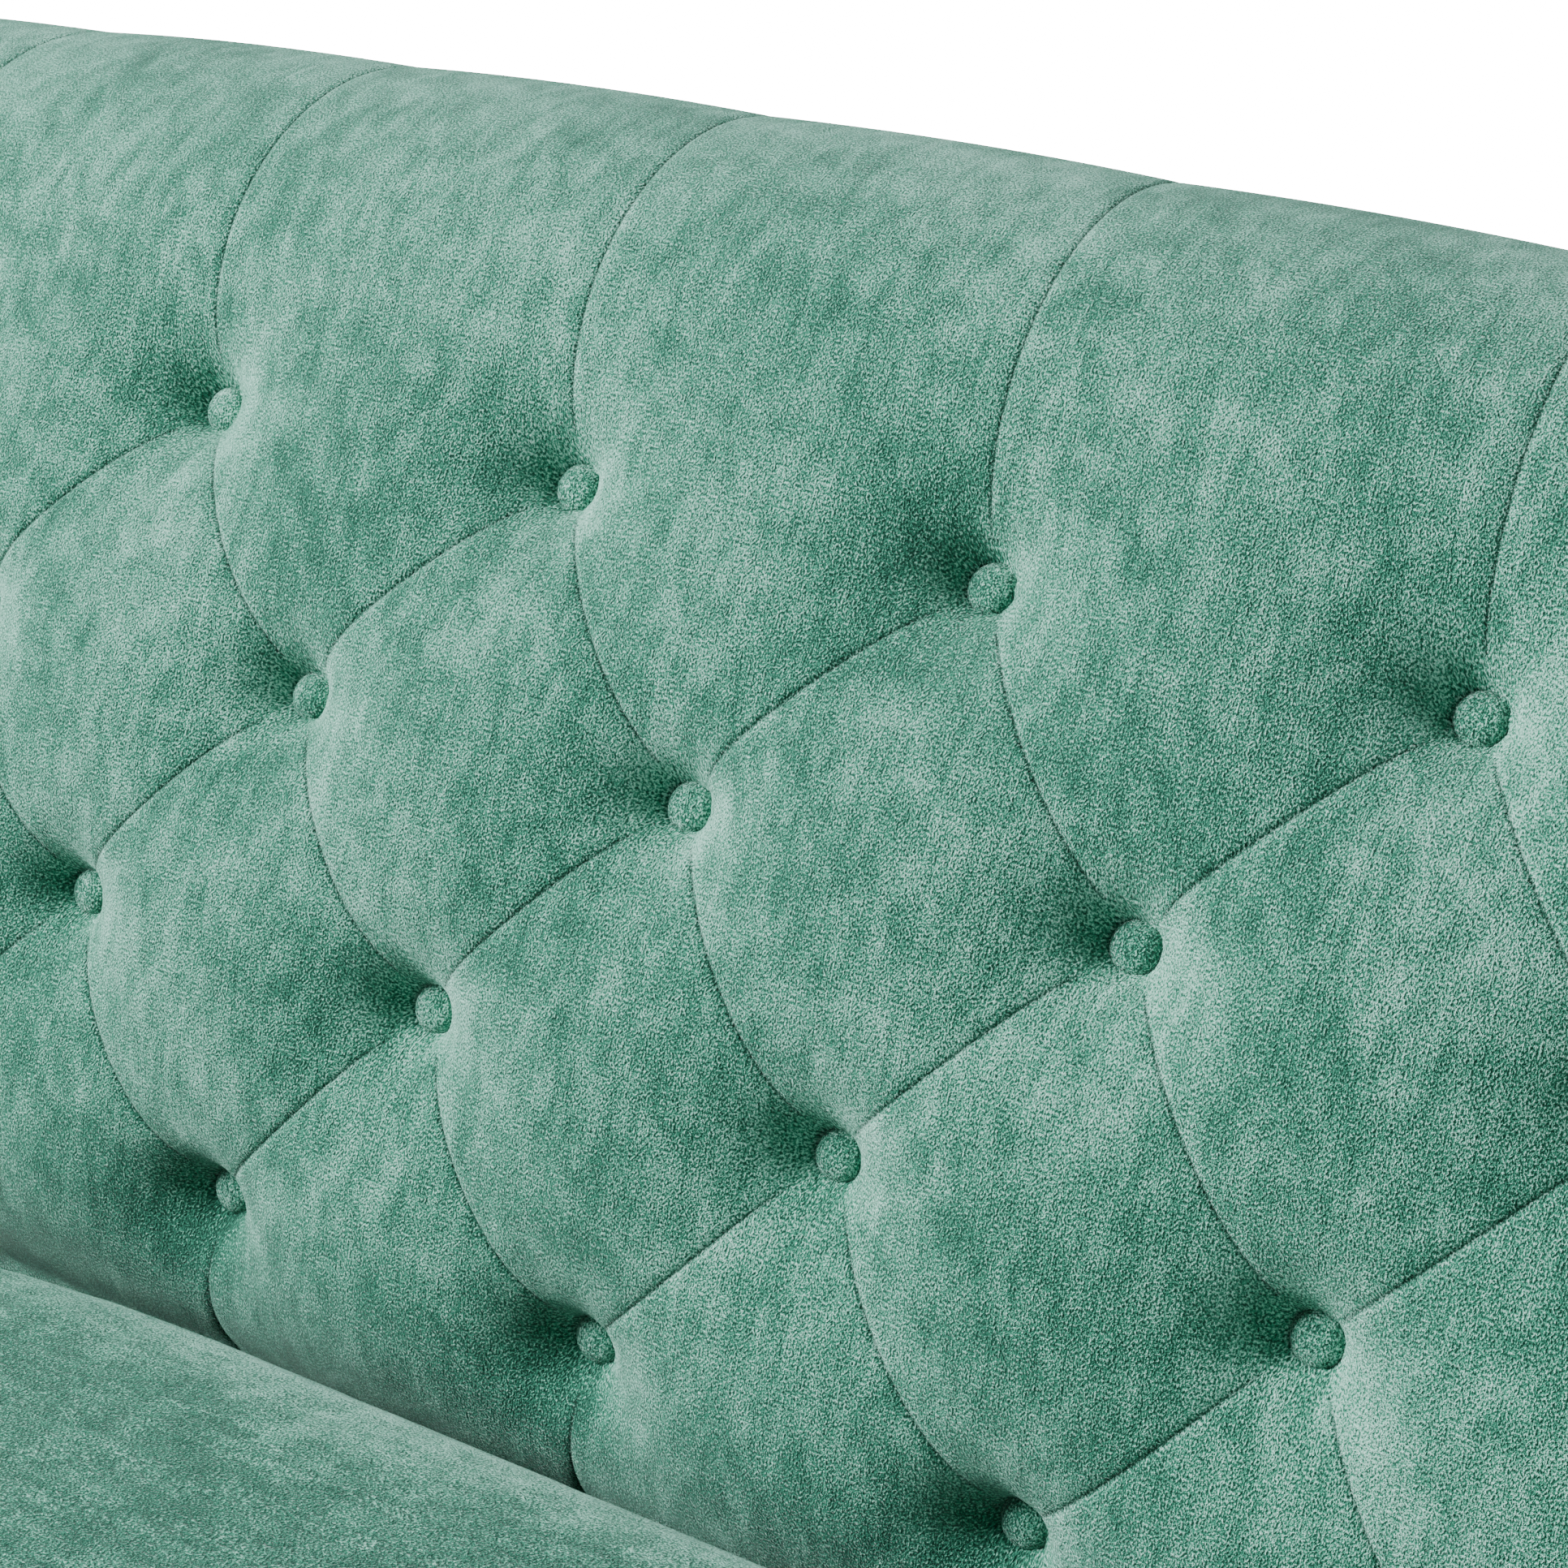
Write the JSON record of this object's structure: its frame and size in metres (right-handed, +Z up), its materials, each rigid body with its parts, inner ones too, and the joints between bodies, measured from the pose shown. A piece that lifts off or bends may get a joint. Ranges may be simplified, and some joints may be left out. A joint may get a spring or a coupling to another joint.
{
  "type": "tufted sofa",
  "caption": "Velvet sofa with a deep-buttoned diamond-tufted back that rolls over at the top, loose crowned seat cushions, round-topped arms and tapered wooden legs.",
  "frame": {"origin": "on the floor, under the middle of the sofa's bounding box", "axes": "+X along the sofa to the right of someone who faces it, +Y from front to back, +Z up"},
  "size_m": [1.96, 0.92, 0.8779],
  "materials": {
    "velvet": "short-pile velvet",
    "twine": "waxed twine",
    "spring_steel": "oil-tempered wire",
    "zinc_steel": "zinc plated",
    "leg_wood": "walnut stain, satin",
    "glide_plastic": "moulded",
    "dust_cloth": "non-woven",
    "deck_cloth": "plain woven",
    "plywood": "raw",
    "frame_wood": "raw"
  },
  "bodies": {
    "frame": {"back_buttons": "velvet", "back_panel": "plywood", "back_ribs": "plywood", "back_sill": "frame_wood", "back_top_rail": "frame_wood", "back_tufted_pad": "velvet", "button_ties": "twine", "centre_beam": "frame_wood", "deck_pad": "deck_cloth", "dust_cover": "dust_cloth", "front_border": "velvet", "front_rail": "frame_wood", "left_arm_facing": "velvet", "left_arm_former": "plywood", "left_arm_outer_panel": "velvet", "left_arm_pad": "velvet", "left_arm_piping": "velvet", "left_arm_rail": "frame_wood", "left_arm_ribs": "plywood", "left_arm_sill": "frame_wood", "left_back_facing": "velvet", "left_side_rail": "frame_wood", "leg_blocks": "frame_wood", "leg_bolts": "zinc_steel", "leg_glides": "glide_plastic", "leg_plates": "zinc_steel", "leg_screws": "zinc_steel", "legs": "leg_wood", "outside_back": "velvet", "rear_rail": "frame_wood", "right_arm_facing": "velvet", "right_arm_former": "plywood", "right_arm_outer_panel": "velvet", "right_arm_pad": "velvet", "right_arm_piping": "velvet", "right_arm_rail": "frame_wood", "right_arm_ribs": "plywood", "right_arm_sill": "frame_wood", "right_back_facing": "velvet", "right_side_rail": "frame_wood", "seat_springs": "spring_steel", "spring_clips": "zinc_steel", "tie_toggles": "frame_wood"},
    "left_cushion": {"left_seat_cushion": "velvet"},
    "right_cushion": {"right_seat_cushion": "velvet"}
  },
  "joints": [
    {"name": "left_cushion_lift", "type": "slide", "parent": "frame", "child": "left_cushion", "axis": [0, 0, 1], "range_m": [0, 0.4]},
    {"name": "right_cushion_lift", "type": "slide", "parent": "frame", "child": "right_cushion", "axis": [0, 0, 1], "range_m": [0, 0.4]}
  ]
}
